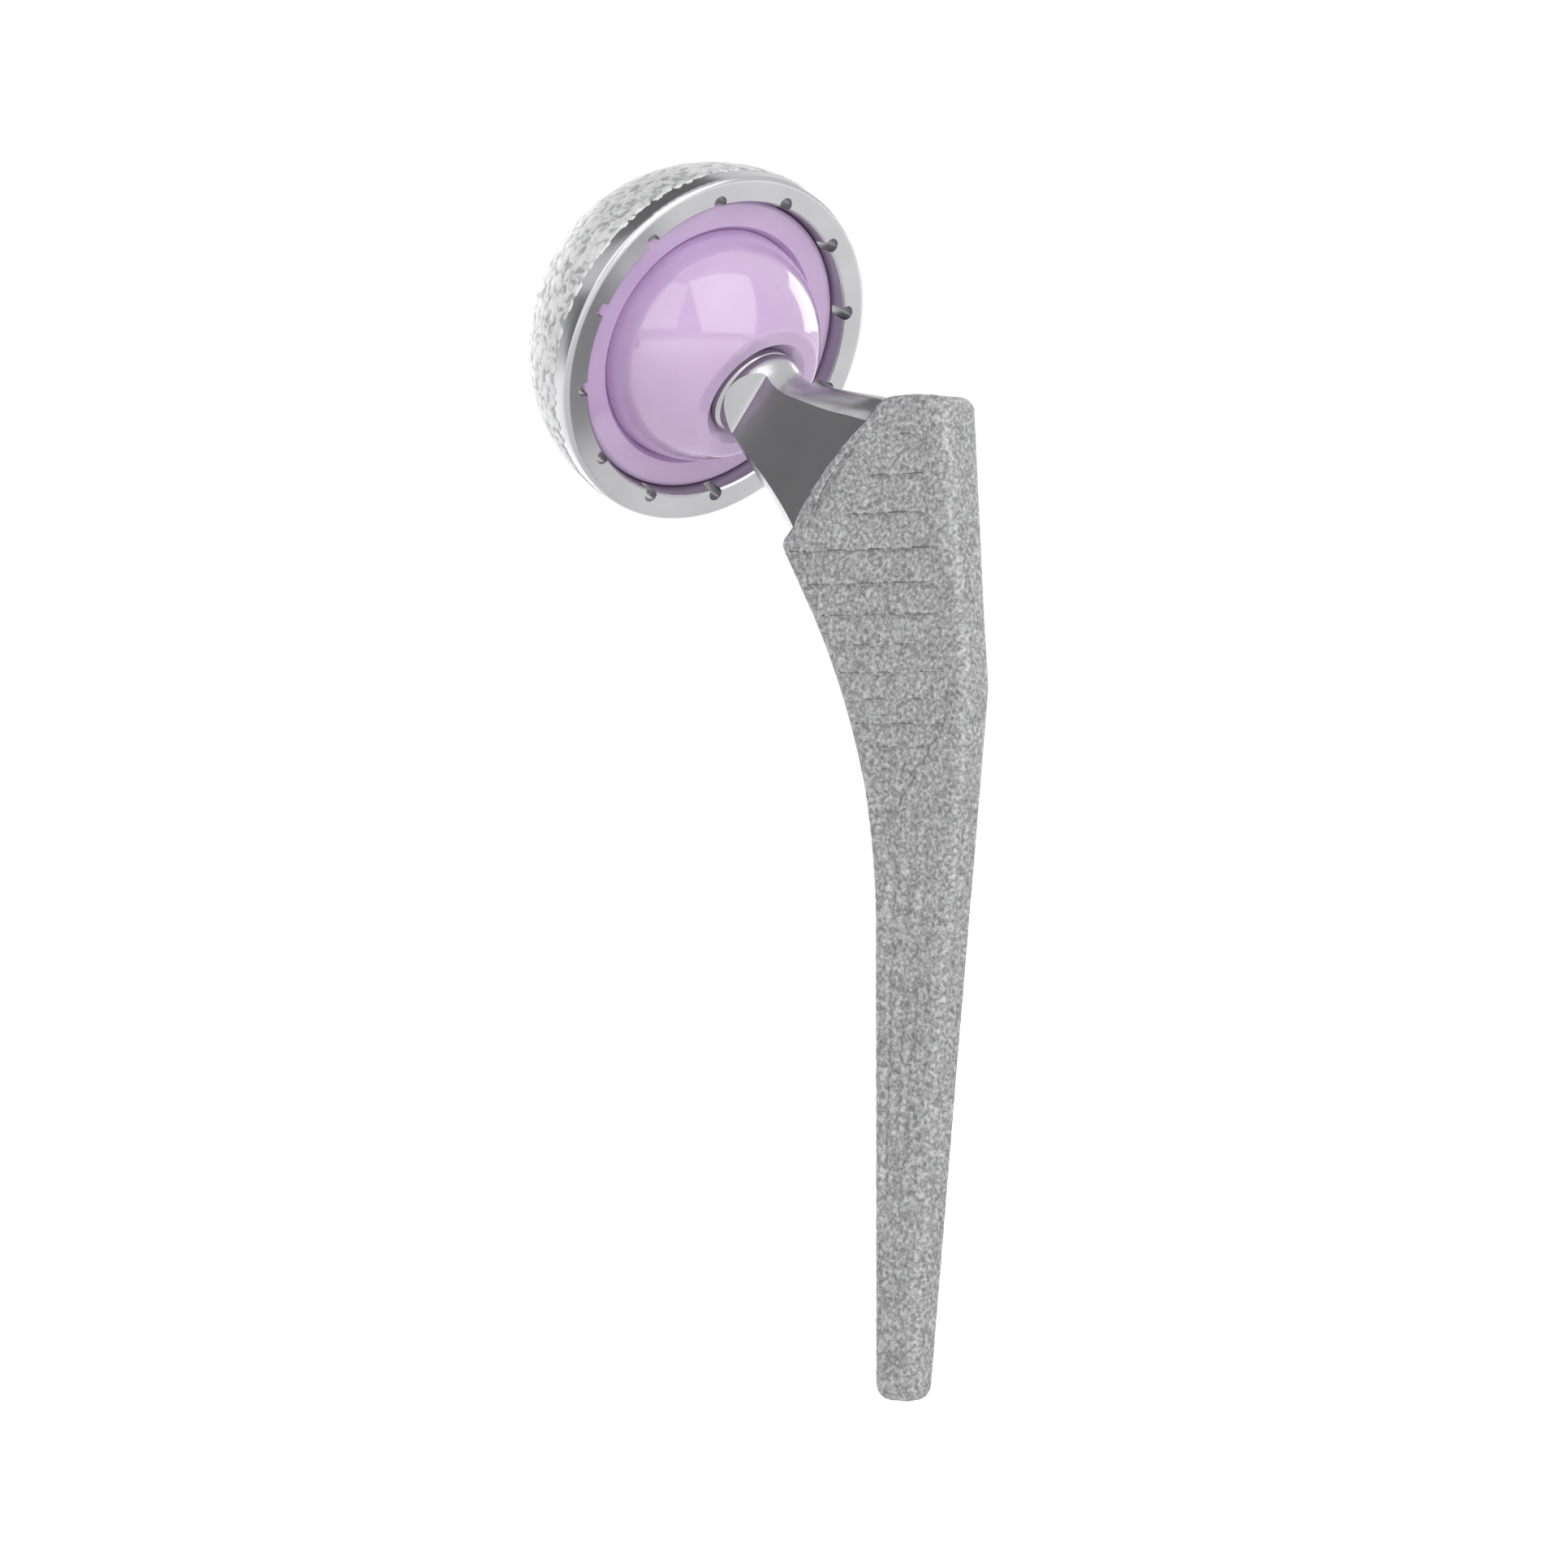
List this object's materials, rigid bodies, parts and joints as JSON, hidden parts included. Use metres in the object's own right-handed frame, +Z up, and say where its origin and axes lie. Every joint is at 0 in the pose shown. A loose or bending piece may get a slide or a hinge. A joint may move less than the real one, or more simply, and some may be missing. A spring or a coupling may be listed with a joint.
{
  "type": "total hip replacement implant: stem, head, liner and acetabular shell",
  "caption": "Total hip replacement: rough-coated tapered titanium stem with ledged faces, lilac ceramic head on its taper, ceramic liner and hemispherical porous-coated shell.",
  "frame": {"origin": "where the neck's axis crosses the axis of the stem's canal part", "axes": "+X lateral, away from the body's middle; +Y posterior; +Z up, towards the shoulder of the stem"},
  "size_m": [0.0757, 0.0537, 0.1794],
  "materials": {
    "coated_titanium": "titanium alloy, plasma-sprayed rough coating; neck, taper and rim left polished",
    "lilac_ceramic": "dense zirconia-toughened alumina, polished",
    "polished_titanium": "titanium alloy, turned and polished"
  },
  "bodies": {
    "stem": {"femoral_stem": "coated_titanium"},
    "head": {"femoral_head": "lilac_ceramic"},
    "liner": {"acetabular_liner": "lilac_ceramic"},
    "shell": {"acetabular_shell": "coated_titanium", "apex_hole_plug": "polished_titanium"}
  },
  "joints": [
    {"name": "head_turn", "type": "hinge", "parent": "stem", "child": "head", "pos_m": [-0.04367, 0, 0.03474], "axis": [0.7826, 0, -0.6225], "continuous": true},
    {"name": "cup_tilt", "type": "hinge", "parent": "head", "child": "liner", "pos_m": [-0.04367, 0, 0.03474], "axis": [-0.3694, -0.8049, -0.4644], "range_deg": [-72, 39.5]},
    {"name": "cup_spin", "type": "hinge", "parent": "liner", "child": "shell", "pos_m": [-0.04367, 0, 0.03474], "axis": [0.8911, -0.1652, -0.4226], "continuous": true}
  ]
}
